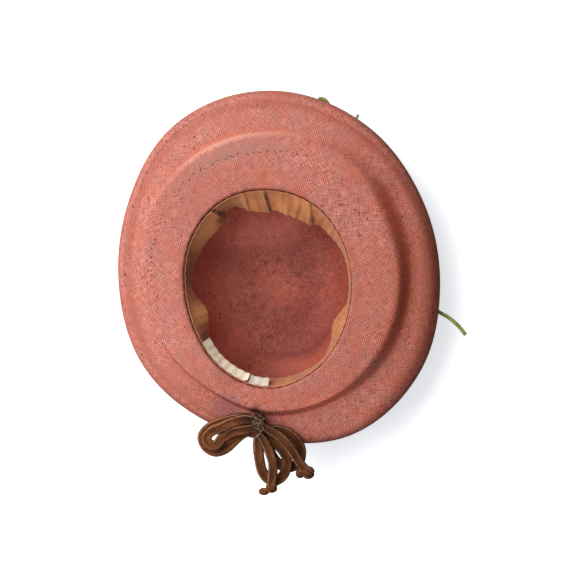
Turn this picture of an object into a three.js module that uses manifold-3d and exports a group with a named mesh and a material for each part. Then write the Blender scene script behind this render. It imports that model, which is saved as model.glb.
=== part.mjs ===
// A wide-brimmed straw picture hat, lying upside down on its crown with the head opening up.
// Millimetres, +Z up. The origin is the middle of the crown's flat tip. Seen from the open side,
// +Y runs to the hat's front and +X to the right, and directions count anticlockwise from +X.
import * as THREE from "three";
import { mergeVertices } from "three/addons/utils/BufferGeometryUtils.js";
import Module from "manifold-3d";

// Straw walls and the room left between pieces that touch
const STRAW = 1.5;
const FIT_GAP = 0.3;

// Crown: height of the head opening over the tip, straight part of the wall, tip as a share of the opening
const HEADLINE = 80;
const CROWN_STRAIGHT = 14;
const TIP_SHARE = 0.52;

// Brim: collar inside the crown, its bend, fall of the flat part, skew of the step's S, turn of the roll
const COLLAR = 10;
const BEND = 2;
const PLATEAU_FALL = 1;
const STEP_SKEW = 0.85;
const ROLL_TURN = 85;

// Brim sections by direction: radii of the head opening, the step's shoulder and foot, the start of
// the rolled edge and its outermost line, then the height of the step, the fall of the band outside it
// and the depth of the roll
const BRIM_SECTIONS = [
  { at: 0, opening: 81.5, shoulder: 127, foot: 140, roll: 147, edge: 169.2, drop: 14, fall: 1, curl: 24 },
  { at: 30, opening: 85.5, shoulder: 130.5, foot: 151, roll: 155, edge: 174.7, drop: 12, fall: 1, curl: 17 },
  { at: 60, opening: 93, shoulder: 146.5, foot: 160, roll: 172, edge: 187.2, drop: 4.5, fall: 1, curl: 8 },
  { at: 90, opening: 97, shoulder: 148.5, foot: 154.5, roll: 180, edge: 195.5, drop: 3, fall: 1.5, curl: 7 },
  { at: 120, opening: 97.5, shoulder: 145.5, foot: 154.5, roll: 176, edge: 189.8, drop: 4.5, fall: 4.5, curl: 7 },
  { at: 150, opening: 91, shoulder: 137, foot: 147.5, roll: 152.5, edge: 166.7, drop: 4, fall: 3.5, curl: 8 },
  { at: 180, opening: 84.5, shoulder: 119.5, foot: 123, roll: 136, edge: 153.8, drop: 3, fall: 4, curl: 9 },
  { at: 210, opening: 85.5, shoulder: 117.5, foot: 121, roll: 133, edge: 152, drop: 4, fall: 4, curl: 9 },
  { at: 240, opening: 94, shoulder: 116, foot: 119.5, roll: 133, edge: 150.5, drop: 6.5, fall: 3, curl: 10 },
  { at: 270, opening: 99.5, shoulder: 121, foot: 128, roll: 138, edge: 155, drop: 9, fall: 1.5, curl: 12 },
  { at: 300, opening: 93, shoulder: 123, foot: 130.5, roll: 159, edge: 168.5, drop: 9, fall: 1, curl: 8 },
  { at: 330, opening: 84.5, shoulder: 123.5, foot: 137.5, roll: 149.5, edge: 171.8, drop: 12, fall: 1, curl: 18 },
];

// Sweatband ribbon, sewn just below the edge of the opening, and how far each fold of it reaches in
const RIBBON = 1;
const RIBBON_WIDTH = 26;
const SEAM_DEPTH = 2.5;
const RIBBON_FOLDS = [
  { at: 0, reach: 2.5 }, { at: 15, reach: 2.8 }, { at: 30, reach: 5 }, { at: 43, reach: 9 },
  { at: 53, reach: 12 }, { at: 63, reach: 18 }, { at: 75, reach: 20 }, { at: 90, reach: 18 },
  { at: 101, reach: 19 }, { at: 106, reach: 16 }, { at: 111, reach: 10 }, { at: 118, reach: 6.5 },
  { at: 124, reach: 9.5 }, { at: 131, reach: 14 }, { at: 140, reach: 13 }, { at: 148, reach: 9.5 },
  { at: 155, reach: 8.5 }, { at: 169, reach: 3.5 }, { at: 177, reach: 1.5 }, { at: 184, reach: 3.5 },
  { at: 190, reach: 8 }, { at: 197, reach: 13.5 }, { at: 205, reach: 13.5 }, { at: 212, reach: 9 },
  { at: 219, reach: 5 }, { at: 235, reach: 4.5 }, { at: 250, reach: 5.5 }, { at: 262, reach: 6 },
  { at: 270, reach: 6 }, { at: 283, reach: 5 }, { at: 295, reach: 3 }, { at: 306, reach: 2.2 },
  { at: 313, reach: 3.8 }, { at: 319, reach: 6.3 }, { at: 325, reach: 9.8 }, { at: 330.5, reach: 11.5 },
  { at: 337, reach: 9.5 }, { at: 342, reach: 7 }, { at: 347.5, reach: 3.6 },
];

// Label and size tag: thickness, first and last direction, their edges as shares of the ribbon's width, and
// how far the lower edge stands off the ribbon
const TAG = 0.8;
const LABEL = { from: 219.5, to: 257, upper: 0.03, lower: 0.48, stand: 5.2 };
const SIZE_TAG = { from: 257.7, to: 269.5, upper: 0.02, lower: 0.5, stand: 4.5 };

// Bow of flattened velvet tubing: section of the tubing, and how the knot pinches it
const TUBE_WIDTH = 10.4;
const TUBE_THICKNESS = 7;
const TAIL_WIDTH = 9.4;
const PINCH = 0.62;
const PINCH_LENGTH = 16;
const KNOT = { centre: [-9.5, -137, 80.6], half: [8.5, 13.5, 11] };

// Routes of the loops and tails, out of the knot and, for a loop, back into it
const LEFT_FRONT_LOOP = [
  [-10, -131.5, 83.5], [-22, -129.5, 83.8], [-34, -132, 84.2], [-47, -138.2, 83.8], [-57, -142.5, 82.8],
  [-62, -148.5, 82], [-59.3, -155, 82], [-52.5, -156.2, 81.5], [-46.3, -149.2, 80], [-41, -146.2, 79.8],
  [-33.5, -142.4, 82], [-23, -140.2, 83], [-10, -137, 83.5],
];
const LEFT_BACK_LOOP = [
  [-10, -130, 76.2], [-24, -129.3, 76.2], [-37, -131, 76.2], [-50, -134.8, 75.6], [-61, -140.5, 75],
  [-67, -149, 74.6], [-64, -158.5, 74.6], [-54, -163.8, 74.6], [-44.5, -161, 74.8], [-36, -153.5, 75.2],
  [-25.5, -144.5, 75.8], [-10, -138.5, 76.2],
];
const DOWN_LOOP = [
  [-8, -138, 82], [-10.4, -151, 82], [-10.2, -160, 81.6], [-9, -171, 80.6], [-6.5, -182, 79.6],
  [-1, -189.5, 79], [7, -190.8, 79], [14, -186, 79.2], [17.8, -176.5, 79.8], [17.2, -167, 80.6],
  [12.3, -158.6, 81.4], [4, -151, 82], [-6, -141, 82],
];
const RIGHT_LOOP = [
  [-8, -140.5, 74.7], [4, -140.8, 74.7], [13, -142, 74.4], [21.5, -146, 74], [28.2, -153.5, 73.4],
  [31.6, -163.5, 72.6], [28.5, -174.5, 72], [18.5, -179, 72], [9, -175.2, 72.4], [2, -166, 73.2],
  [-3, -155, 74.2], [-8, -144.5, 74.7],
];
const MIDDLE_TAIL = [
  [-10, -141, 89.2], [-1.9, -153.5, 89.2], [2.7, -164, 89.2], [5, -174.5, 88.6], [4.4, -185, 88],
  [3, -195, 87.2],
];
const RIGHT_TAIL = [
  [-8, -133.5, 89.4], [3, -140.3, 89.4], [12.7, -146.3, 89.4], [20.8, -155.2, 89], [27.2, -165, 88.2],
  [32.5, -173.2, 87.4], [37, -178.5, 87],
];

// Knots tied in the tails' ends: rounded lumps
const MIDDLE_TAIL_KNOT = [
  { centre: [3.5, -196.5, 87], half: [6, 5.5, 5] },
  { centre: [-4.2, -200.8, 86.5], half: [5.4, 3.7, 3.3] },
];
const RIGHT_TAIL_KNOT = [
  { centre: [39.6, -181.2, 87], half: [6.6, 6.4, 5.6] },
  { centre: [31.5, -182.4, 86.6], half: [4.4, 4.6, 4] },
];

// Stems: thickness and route, from the tie at the crown's foot, under the brim and out past its edge
const STEMS = {
  stem_right: {
    thickness: 3.8,
    route: [
      [85.7, 38, 71], [100, 28, 66], [130, 7, 52], [150, -11, 40.5], [160, -19, 37.3], [168, -25, 36.4],
      [178, -30.9, 36], [187.5, -39, 35], [195, -48.2, 33.5],
    ],
  },
  stem_top: {
    thickness: 4.2,
    route: [
      [80.7, 47.8, 73], [77, 80, 68], [69, 130, 66], [61, 174, 61.5], [58, 181, 61], [54.5, 185.8, 60.7],
      [51, 187.4, 60.5], [47.8, 187.3, 60.3],
    ],
  },
  stem_top_small: {
    thickness: 2.8,
    route: [
      [82.7, 43.8, 69], [88, 80, 66], [87, 130, 64], [84.5, 164, 62], [87.4, 171.6, 61.6],
    ],
  },
};
const TIE = { at: 27, span: 12, radius: 4, length: 14, height: 71 };

// Steps round the hat and along the tubes, and sides of a tube's section
const ROUND_STEPS = 60;
const RIBBON_STEPS = 90;
const ROLL_STEPS = 6;
const SHOULDER_STEPS = 6;
const TUBE_STEP = 5.5;
const STEM_STEP = 14;
const TUBE_SIDES = 8;
const STEM_SIDES = 6;

const STRAW_FINISH = finish("#c47f6e", 0.8);
const RIBBON_FINISH = finish("#a8703f", 0.7);
const LABEL_FINISH = finish("#d9c7ad", 0.75);
const TAG_FINISH = finish("#ece6da", 0.75);
const VELVET_FINISH = finish("#6f4630", 0.95);
const STEM_FINISH = finish("#6e7d2e", 0.6);

const wasm = await Module();
wasm.setup();
const hat = new THREE.Group();

function finish(color, roughness) {
  return new THREE.MeshStandardMaterial({ color, roughness, metalness: 0 });
}

function add(name, geometry, material) {
  geometry.computeVertexNormals();
  const mesh = new THREE.Mesh(geometry, material);
  mesh.name = name;
  hat.add(mesh);
  return mesh;
}

const radians = THREE.MathUtils.degToRad;

// A column of a table with rows by direction, as a smooth curve through all of them
function around(rows, column, direction) {
  const count = rows.length;
  const row = (k) => rows[(k + count) % count];
  const at = (k) => row(k).at + 360 * Math.floor(k / count);
  const here = rows.findLastIndex((candidate) => candidate.at <= direction);
  const span = at(here + 1) - at(here);
  const slope = (k) => ((row(k + 1)[column] - row(k - 1)[column]) / (at(k + 1) - at(k - 1))) * span;
  const t = (direction - at(here)) / span;
  const blend = t * t * (3 - 2 * t);
  const lead = t * (1 - t) * (1 - t) * slope(here) - t * t * (1 - t) * slope(here + 1);
  return THREE.MathUtils.lerp(row(here)[column], row(here + 1)[column], blend) + lead;
}

function brimSection(direction) {
  const columns = ["opening", "shoulder", "foot", "roll", "edge", "drop", "fall", "curl"];
  return Object.fromEntries(columns.map((column) => [column, around(BRIM_SECTIONS, column, direction)]));
}

// The closed loop round a wall: a line of (radius, height) points thickened by half to each side
function thicken(line, thickness) {
  const side = (sign) =>
    line.map((point, k) => {
      const ahead = line[Math.min(k + 1, line.length - 1)];
      const along = ahead.clone().sub(line[Math.max(k - 1, 0)]).normalize();
      const across = new THREE.Vector2(along.y, -along.x);
      return point.clone().addScaledVector(across, (sign * thickness) / 2);
    });
  return [...side(1), ...side(-1).reverse()];
}

// A loop of (radius, height) points stood up in one direction from the hat's axis
function standUp(loop, direction) {
  const angle = radians(direction);
  return loop.map(
    ({ x: radius, y: height }) =>
      new THREE.Vector3(radius * Math.cos(angle), radius * Math.sin(angle), height),
  );
}

// A closed surface through a row of closed loops, each anticlockwise looking along the row.
// A ring comes back to its start, and any other row is closed by a cap at each end.
function loft(loops, ring) {
  const size = loops[0].length;
  const faces = [];
  const quad = (a, b, c, d) => faces.push(a, b, c, a, c, d);
  const spans = ring ? loops.length : loops.length - 1;
  for (let i = 0; i < spans; i++) {
    const here = i * size;
    const next = ((i + 1) % loops.length) * size;
    for (let j = 0; j < size; j++) {
      const k = (j + 1) % size;
      quad(here + j, next + j, next + k, here + k);
    }
  }
  if (!ring) {
    const last = (loops.length - 1) * size;
    for (let j = 0; j < size / 2 - 1; j++) {
      const [k, m, n] = [j + 1, size - 2 - j, size - 1 - j];
      quad(j, k, m, n);
      quad(last + n, last + m, last + k, last + j);
    }
  }
  return new THREE.BufferGeometry().setFromPoints(loops.flat()).setIndex(faces);
}

function ringWall(line, thickness, steps) {
  const directions = Array.from({ length: steps }, (_, i) => (i * 360) / steps);
  return loft(directions.map((d) => standUp(thicken(line(d), thickness), d)), true);
}

const point = (radius, height) => new THREE.Vector2(radius, height);

// Brim: up the collar, over the bend, out along the flat part, down the step and round the rolled edge
function brimLine(direction) {
  const { opening, shoulder, foot, roll, edge, drop, fall, curl } = brimSection(direction);
  const collar = opening + STRAW / 2;
  const line = [point(collar, HEADLINE - COLLAR), point(collar, HEADLINE - BEND)];
  line.push(point(collar + BEND * (1 - Math.SQRT1_2), HEADLINE - BEND * (1 - Math.SQRT1_2)));
  for (const t of [0, 0.35, 0.7]) {
    line.push(point(THREE.MathUtils.lerp(collar + BEND, shoulder, t), HEADLINE - PLATEAU_FALL * t * t));
  }
  const shelf = HEADLINE - PLATEAU_FALL;
  for (let k = 0; k < SHOULDER_STEPS; k++) {
    const t = k / (SHOULDER_STEPS - 1);
    const sunk = THREE.MathUtils.smoothstep(t ** STEP_SKEW, 0, 1);
    line.push(point(THREE.MathUtils.lerp(shoulder, foot, t), shelf - drop * sunk));
  }
  const band = shelf - drop - fall;
  for (let k = 0; k <= ROLL_STEPS; k++) {
    const turn = radians((ROLL_TURN * k) / ROLL_STEPS);
    const out = (edge - STRAW / 2 - roll) * Math.sin(turn);
    line.push(point(roll + out, band - curl * (1 - Math.cos(turn))));
  }
  return line;
}

// Crown: out along the flat tip, up the elliptical shoulder and the straight wall round the collar
function crownLine(direction) {
  const base = brimSection(direction).opening + STRAW + FIT_GAP + STRAW / 2;
  const tip = STRAW / 2;
  const wallFoot = HEADLINE - CROWN_STRAIGHT;
  const line = [point(0, tip), point(base * TIP_SHARE * 0.6, tip)];
  for (const turn of [90, 72, 56, 40, 20, 0].map(radians)) {
    const share = TIP_SHARE + (1 - TIP_SHARE) * Math.cos(turn);
    line.push(point(base * share, wallFoot - (wallFoot - tip) * Math.sin(turn)));
  }
  line.push(point(base, HEADLINE - BEND - FIT_GAP));
  return line;
}

// Sweatband: from its seam inside the collar, leaning in by the fold's reach
function ribbonLine(direction, shares) {
  const seam = brimSection(direction).opening - FIT_GAP - RIBBON / 2;
  const reach = around(RIBBON_FOLDS, "reach", direction);
  const depth = Math.sqrt(RIBBON_WIDTH ** 2 - reach ** 2);
  return shares.map((t) => point(seam - reach * t, HEADLINE - SEAM_DEPTH - depth * t));
}

// Label and tag: slabs sewn to the ribbon's open side by their upper edge
function tagOnRibbon({ from, to, upper, lower, stand }) {
  const steps = Math.ceil((to - from) / 3);
  const loops = [];
  for (let k = 0; k <= steps; k++) {
    const direction = THREE.MathUtils.lerp(from, to, k / steps);
    const line = ribbonLine(direction, [upper, lower]);
    const along = line[1].clone().sub(line[0]).normalize();
    const away = point(along.y, -along.x);
    const lift = RIBBON / 2 + FIT_GAP + TAG / 2;
    line[0].addScaledVector(away, lift);
    line[1].addScaledVector(away, lift + stand);
    loops.push(standUp(thicken(line, TAG), direction));
  }
  return loft(loops, false);
}

// A tube along a route, with an oval section that lies flat: size(s) is its share at distance s
function tube(route, width, thickness, step, sides, size) {
  const curve = new THREE.CatmullRomCurve3(route.map((p) => new THREE.Vector3(...p)));
  const length = curve.getLength();
  const steps = Math.round(length / step);
  const loops = [];
  for (let i = 0; i <= steps; i++) {
    const centre = curve.getPointAt(i / steps);
    const along = curve.getTangentAt(i / steps);
    const across = along.clone().cross(new THREE.Vector3(0, 0, 1)).normalize();
    const upward = across.clone().cross(along);
    const share = size((i / steps) * length, length);
    const loop = [];
    for (let j = 0; j < sides; j++) {
      const angle = ((j + 0.5) / sides) * 2 * Math.PI;
      const side = across.clone().multiplyScalar((width / 2) * share * Math.cos(angle));
      const rise = upward.clone().multiplyScalar((thickness / 2) * share * Math.sin(angle));
      loop.push(centre.clone().add(side).add(rise));
    }
    loops.push(loop);
  }
  return loft(loops, false);
}

const gripped = (s) => PINCH + (1 - PINCH) * THREE.MathUtils.smoothstep(s, 0, PINCH_LENGTH);
const grippedAtStart = (s) => gripped(s);
const grippedAtBothEnds = (s, length) => Math.min(gripped(s), gripped(length - s));

function lump({ centre, half }, margin, sides, rings) {
  const [a, b, c] = half.map((size) => size + margin);
  return new THREE.SphereGeometry(1, sides, rings).scale(a, b, c).translate(...centre);
}

// A closed geometry as a solid for joining and cutting, and a solid as a geometry again
function solid(geometry) {
  const bare = geometry.clone();
  bare.deleteAttribute("normal");
  bare.deleteAttribute("uv");
  const merged = mergeVertices(bare);
  const vertProperties = new Float32Array(merged.attributes.position.array);
  const triVerts = new Uint32Array(merged.index.array);
  return new wasm.Manifold(new wasm.Mesh({ numProp: 3, vertProperties, triVerts }));
}

function surface(manifold) {
  const { vertProperties, triVerts } = manifold.getMesh();
  const geometry = new THREE.BufferGeometry();
  geometry.setAttribute("position", new THREE.BufferAttribute(vertProperties, 3));
  geometry.setIndex(new THREE.BufferAttribute(triVerts, 1));
  return geometry;
}

add("crown", ringWall(crownLine, STRAW, ROUND_STEPS), STRAW_FINISH);
add("brim", ringWall(brimLine, STRAW, ROUND_STEPS), STRAW_FINISH);
add("sweatband", ringWall((d) => ribbonLine(d, [0, 0.5, 1]), RIBBON, RIBBON_STEPS), RIBBON_FINISH);
add("label", tagOnRibbon(LABEL), LABEL_FINISH);
add("size_tag", tagOnRibbon(SIZE_TAG), TAG_FINISH);

// The bow: a knot, four loops and two tails, each cut back to the knot's surface
add("bow_knot", lump(KNOT, 0, 16, 10), VELVET_FINISH);
const gripOfKnot = solid(lump(KNOT, FIT_GAP, 16, 10));
const LOOPS = {
  bow_loop_left_front: LEFT_FRONT_LOOP,
  bow_loop_left_back: LEFT_BACK_LOOP,
  bow_loop_down: DOWN_LOOP,
  bow_loop_right: RIGHT_LOOP,
};
for (const [name, route] of Object.entries(LOOPS)) {
  const loop = tube(route, TUBE_WIDTH, TUBE_THICKNESS, TUBE_STEP, TUBE_SIDES, grippedAtBothEnds);
  add(name, surface(solid(loop).subtract(gripOfKnot)), VELVET_FINISH);
}
const TAILS = {
  bow_tail_middle: { route: MIDDLE_TAIL, knot: MIDDLE_TAIL_KNOT },
  bow_tail_right: { route: RIGHT_TAIL, knot: RIGHT_TAIL_KNOT },
};
for (const [name, { route, knot }] of Object.entries(TAILS)) {
  const tail = tube(route, TAIL_WIDTH, TUBE_THICKNESS, TUBE_STEP, TUBE_SIDES, grippedAtStart);
  const knotted = knot.reduce((all, part) => all.add(solid(lump(part, 0, 10, 7))), solid(tail));
  add(name, surface(knotted.subtract(gripOfKnot)), VELVET_FINISH);
}

// The stems, cut back to the tie that lies along the crown's wall and binds them
const wallAt = (direction) => standUp([crownLine(direction).at(-1)], direction)[0];
const alongWall = wallAt(TIE.at + TIE.span / 2).sub(wallAt(TIE.at - TIE.span / 2)).normalize();
const awayFromWall = alongWall.clone().cross(new THREE.Vector3(0, 0, 1));
const tieCentre = wallAt(TIE.at).addScaledVector(awayFromWall, STRAW / 2 + FIT_GAP + TIE.radius);
function tieCapsule(margin) {
  const capsule = new THREE.CapsuleGeometry(TIE.radius + margin, TIE.length, 3, 10);
  capsule.rotateZ(Math.atan2(-alongWall.x, alongWall.y));
  return capsule.translate(tieCentre.x, tieCentre.y, TIE.height);
}
add("stem_tie", tieCapsule(0), STEM_FINISH);
const gripOfTie = solid(tieCapsule(FIT_GAP));
for (const [name, { thickness, route }] of Object.entries(STEMS)) {
  const stem = tube(route, thickness, thickness, STEM_STEP, STEM_SIDES, () => 1);
  add(name, surface(solid(stem).subtract(gripOfTie)), STEM_FINISH);
}

export default hat;
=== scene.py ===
import functools
import math

import bmesh
import bpy
import numpy as np
from mathutils import Matrix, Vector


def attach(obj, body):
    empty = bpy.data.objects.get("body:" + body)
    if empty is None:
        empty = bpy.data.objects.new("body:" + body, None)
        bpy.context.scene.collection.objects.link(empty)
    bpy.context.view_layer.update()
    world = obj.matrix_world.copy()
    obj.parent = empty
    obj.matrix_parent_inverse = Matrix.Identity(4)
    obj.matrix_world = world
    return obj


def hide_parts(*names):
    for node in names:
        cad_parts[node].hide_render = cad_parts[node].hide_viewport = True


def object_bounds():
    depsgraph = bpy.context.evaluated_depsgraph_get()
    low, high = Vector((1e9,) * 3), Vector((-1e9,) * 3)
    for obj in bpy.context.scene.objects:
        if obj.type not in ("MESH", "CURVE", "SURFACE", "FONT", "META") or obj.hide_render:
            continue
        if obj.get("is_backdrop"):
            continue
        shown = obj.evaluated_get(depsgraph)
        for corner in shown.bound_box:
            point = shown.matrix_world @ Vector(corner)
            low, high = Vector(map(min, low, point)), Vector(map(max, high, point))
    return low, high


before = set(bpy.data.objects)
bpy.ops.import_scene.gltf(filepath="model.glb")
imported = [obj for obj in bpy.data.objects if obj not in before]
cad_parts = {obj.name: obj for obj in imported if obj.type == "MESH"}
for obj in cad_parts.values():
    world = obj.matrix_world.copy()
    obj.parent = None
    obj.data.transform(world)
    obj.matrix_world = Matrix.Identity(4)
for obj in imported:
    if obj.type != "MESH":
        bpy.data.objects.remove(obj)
cad_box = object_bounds()

# Brim
# One piece of dyed, fine woven straw, blocked wet over a form. The hat lies upside down, so the brim has a
# collar that goes down inside the crown, a flat part round the head, a step down to a lower band, and an
# outer edge that rolls down.
MM = 0.001
# sizes in millimetres, the power that skews the step's S, and the degrees through which the edge rolls
STRAW = 1.5
FIT_GAP = 0.3
HEADLINE = 80
COLLAR = 10
BEND = 2
PLATEAU_FALL = 1
STEP_SKEW = 0.85
ROLL_TURN = 85
# direction, and radii of the head opening, the step's shoulder and foot, the start of the rolled edge and
# its outermost line, then the height of the step, the fall of the band outside it and the depth of the roll
BRIM_SECTIONS = [
    (0, 81.5, 127, 140, 147, 169.2, 14, 1, 24),
    (30, 85.5, 130.5, 151, 155, 174.7, 12, 1, 17),
    (60, 93, 146.5, 160, 172, 187.2, 4.5, 1, 8),
    (90, 97, 148.5, 154.5, 180, 195.5, 3, 1.5, 7),
    (120, 97.5, 145.5, 154.5, 176, 189.8, 4.5, 4.5, 7),
    (150, 91, 137, 147.5, 152.5, 166.7, 4, 3.5, 8),
    (180, 84.5, 119.5, 123, 136, 153.8, 3, 4, 9),
    (210, 85.5, 117.5, 121, 133, 152, 4, 4, 9),
    (240, 94, 116, 119.5, 133, 150.5, 6.5, 3, 10),
    (270, 99.5, 121, 128, 138, 155, 9, 1.5, 12),
    (300, 93, 123, 130.5, 159, 168.5, 9, 1, 8),
    (330, 84.5, 123.5, 137.5, 149.5, 171.8, 12, 1, 18),
]
BRIM_STEPS = 360
# the turned edge: distance of its seam from the edge, then depth and half width of the groove there and of
# the swell outside it
HEM = 12
HEM_GROOVE = (0.7, 1.8)
HEM_SWELL = (0.35, 3.2)
# direction, and how far the seam of the turned edge shows there
HEM_SHOWS = [(0, 0), (25, 0), (50, 0.6), (80, 1), (160, 1), (240, 1), (265, 0.4), (285, 0), (330, 0)]
# direction, and how strongly the painted light and shade along the top of the step show there
CREST_SHADING = [
    (0, 0), (70, 0), (80, 0.3), (90, 0.7), (100, 0.95), (113, 0.95), (121, 0.65), (129, 0.3), (138, 0.15),
    (165, 0), (270, 0),
]
# direction, and how strong the painted shade in the step is there, or below zero how strong the painted
# light
STEP_SHADE = [
    (0, 0.8), (18, 0.75), (30, 1), (40, 0.55), (49, 0), (180, 0), (270, 0), (282, -0.5), (290, -1),
    (302, -1), (311, -0.4), (320, -0.1), (332, 0.4), (345, 0.7),
]
# a slow unevenness in the hand-blocked straw: its height, where it starts outside the opening and the way
# over which it grows, and its waves round the hat as count and start
UNEVEN = 0.45
UNEVEN_FROM = 5
UNEVEN_OVER = 40
UNEVEN_WAVES = [(2, 0.6), (5, 1.9), (9, 4.1)]


def hermite(at, values, slope, wanted):
    """A smooth curve through values at the places at, read at the places wanted: cubic Hermite spans, which
    leave and reach each value with its slope."""
    here = np.clip(np.searchsorted(at, wanted, side="right") - 1, 0, len(at) - 2)
    span = (at[here + 1] - at[here])[:, None]
    t = (wanted - at[here])[:, None] / span
    blend = t * t * (3 - 2 * t)
    lead = t * (1 - t) ** 2 * slope[here] - t * t * (1 - t) * slope[here + 1]
    return (1 - blend) * values[here] + blend * values[here + 1] + lead * span


def around(table, directions):
    """Each column of a table whose rows stand at directions in degrees, as a smooth closed curve. A row's
    slope is the difference of the rows on both sides of it over the angle between them."""
    table = np.array(table, float)
    turn = np.eye(table.shape[1])[0] * 360
    rows = np.concatenate([table[-2:] - turn, table, table[:2] + turn])
    at, values = rows[:, 0], rows[:, 1:]
    slope = np.zeros_like(values)
    slope[1:-1] = (values[2:] - values[:-2]) / (at[2:] - at[:-2])[:, None]
    return hermite(at, values, slope, np.mod(directions, 360)).T[:, :, None]


def soften(line, rounds):
    """Rounds the corners of lines of points: each inner point moves to the mean of itself, counted twice,
    and its two neighbours, and this is done a number of rounds."""
    for _ in range(rounds):
        line[:, 1:-1] = (line[:, :-2] + 2 * line[:, 1:-1] + line[:, 2:]) / 4
    return line


def wall_loops(line, thickness):
    """Closed loops round a wall: each line of (radius, height) points is set off by half the thickness along
    its normal, out along one side and back along the other."""
    along = np.gradient(line, axis=1)
    along /= np.linalg.norm(along, axis=2, keepdims=True) + 1e-12
    across = np.stack([along[..., 1], -along[..., 0]], axis=2) * (thickness / 2)
    return np.concatenate([line + across, (line - across)[:, ::-1]], axis=1)


def stand_up(loops, directions):
    """(radius, height) points stood up in their directions from the hat's axis: x is the radius times the
    cosine, y the radius times the sine, and z the height."""
    angle = np.radians(directions)[:, None]
    radius, height = loops[..., 0], loops[..., 1]
    return np.stack([radius * np.cos(angle), radius * np.sin(angle), height], axis=2)


def way_along(points):
    """The distance along lines of points from their starts: the sum of the steps so far."""
    steps = np.linalg.norm(np.diff(points, axis=-2), axis=-1)
    return np.concatenate([0 * steps[..., :1], np.cumsum(steps, axis=-1)], axis=-1)


def paired(first, second):
    """Two values for each place on a grid, as (radius, height) points or as the pairs of a UV map."""
    return np.stack(np.broadcast_arrays(first, second), axis=2)


def grid_piece(name, points, ring, **uvs):
    """A smooth closed mesh over points in millimetres, as (body, row, place on the row's loop): each loop
    is joined to the next, and in a ring the last to the first. The end loops of other bodies are capped, or
    they shrink to a point. Each UV map has one pair per point."""
    bodies, rows, size = points.shape[:3]
    index = np.arange(bodies * rows * size).reshape(bodies, rows, size)
    near = index if ring else index[:, :-1]
    far = np.roll(index, -1, axis=1) if ring else index[:, 1:]
    quads = np.stack([near, far, np.roll(far, -1, axis=2), np.roll(near, -1, axis=2)], axis=3)
    faces = quads.reshape(-1, 4).tolist()
    if not ring:
        faces += index[:, 0].tolist() + index[:, -1, ::-1].tolist()
    mesh = bpy.data.meshes.new(name)
    mesh.from_pydata(points.reshape(-1, 3) * MM, [], faces)
    corners = np.zeros(len(mesh.loops), dtype=np.int32)
    mesh.loops.foreach_get("vertex_index", corners)
    for label, pairs in uvs.items():
        layer = mesh.uv_layers.new(name=label)
        layer.data.foreach_set("uv", pairs.reshape(-1, 2)[corners].astype(np.float32).ravel())
    closed = bmesh.new()
    closed.from_mesh(mesh)
    bmesh.ops.remove_doubles(closed, verts=closed.verts, dist=1e-7)
    if closed.calc_volume(signed=True) < 0:
        bmesh.ops.reverse_faces(closed, faces=closed.faces)
    closed.to_mesh(mesh)
    closed.free()
    mesh.shade_smooth()
    piece = bpy.data.objects.new(name, mesh)
    bpy.context.scene.collection.objects.link(piece)
    return piece


def wall_piece(name, line, thickness, directions, ring, **uvs):
    """A wall of a thickness over lines of (radius, height) points, stood up in their directions. Each UV map
    has one pair per point of the line, which both sides of the wall share."""
    points = stand_up(wall_loops(line, thickness), directions)[None]
    both = {label: np.concatenate([pairs, pairs[:, ::-1]], axis=1) for label, pairs in uvs.items()}
    return grid_piece(name, points, ring, **both)


def brim_line(directions):
    """The middle of the brim's wall: up the collar, a quarter turn outward, out along the flat part, which
    falls with the square of the way, down the step along an S that is steepest above its middle, along the
    band, and round the elliptical roll. A slow wave lifts and lowers all of it. A groove with the shape of
    a bell curve marks the seam of the turned edge, and the straw swells outside it in the same way."""
    opening, shoulder, foot, roll, edge, drop, fall, curl = around(BRIM_SECTIONS, directions)
    collar = opening + STRAW / 2
    shelf = HEADLINE - PLATEAU_FALL
    line = []

    def run(radius, height):
        line.append(paired(radius, height))

    t = np.linspace(0, 1, 8)[None]
    run(collar + 0 * t, HEADLINE - COLLAR + (COLLAR - BEND) * t)
    turn = np.radians(np.linspace(10, 90, 8))[None]
    run(collar + BEND * (1 - np.cos(turn)), HEADLINE - BEND * (1 - np.sin(turn)))
    t = np.linspace(0, 1, 30)[None, 1:]
    run(collar + BEND + (shoulder - collar - BEND) * t, HEADLINE - PLATEAU_FALL * t**2)
    t = np.linspace(0, 1, 18)[None, 1:]
    sunk = t**STEP_SKEW
    run(shoulder + (foot - shoulder) * t, shelf - drop * sunk**2 * (3 - 2 * sunk))
    t = np.linspace(0, 1, 9)[None, 1:]
    run(foot + (roll - foot) * t, shelf - drop - fall * t)
    turn = np.radians(np.linspace(0, ROLL_TURN, 25))[None, 1:]
    out = (edge - STRAW / 2 - roll) * np.sin(turn)
    run(roll + out, shelf - drop - fall - curl * (1 - np.cos(turn)))
    line = soften(np.concatenate(line, axis=1), 3)
    angle = np.radians(directions)[:, None]
    wave = sum(np.sin(count * angle + start) for count, start in UNEVEN_WAVES)
    line[..., 1] += UNEVEN * wave * np.clip((line[..., 0] - opening - UNEVEN_FROM) / UNEVEN_OVER, 0, 1)
    way = way_along(line)
    left = way[:, -1:] - way
    groove = HEM_GROOVE[0] * np.exp(-(((left - HEM) / HEM_GROOVE[1]) ** 2))
    swell = HEM_SWELL[0] * np.exp(-(((left - HEM / 2) / HEM_SWELL[1]) ** 2))
    line[..., 1] += (swell - groove) * around(HEM_SHOWS, directions)[0]
    return line


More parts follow.
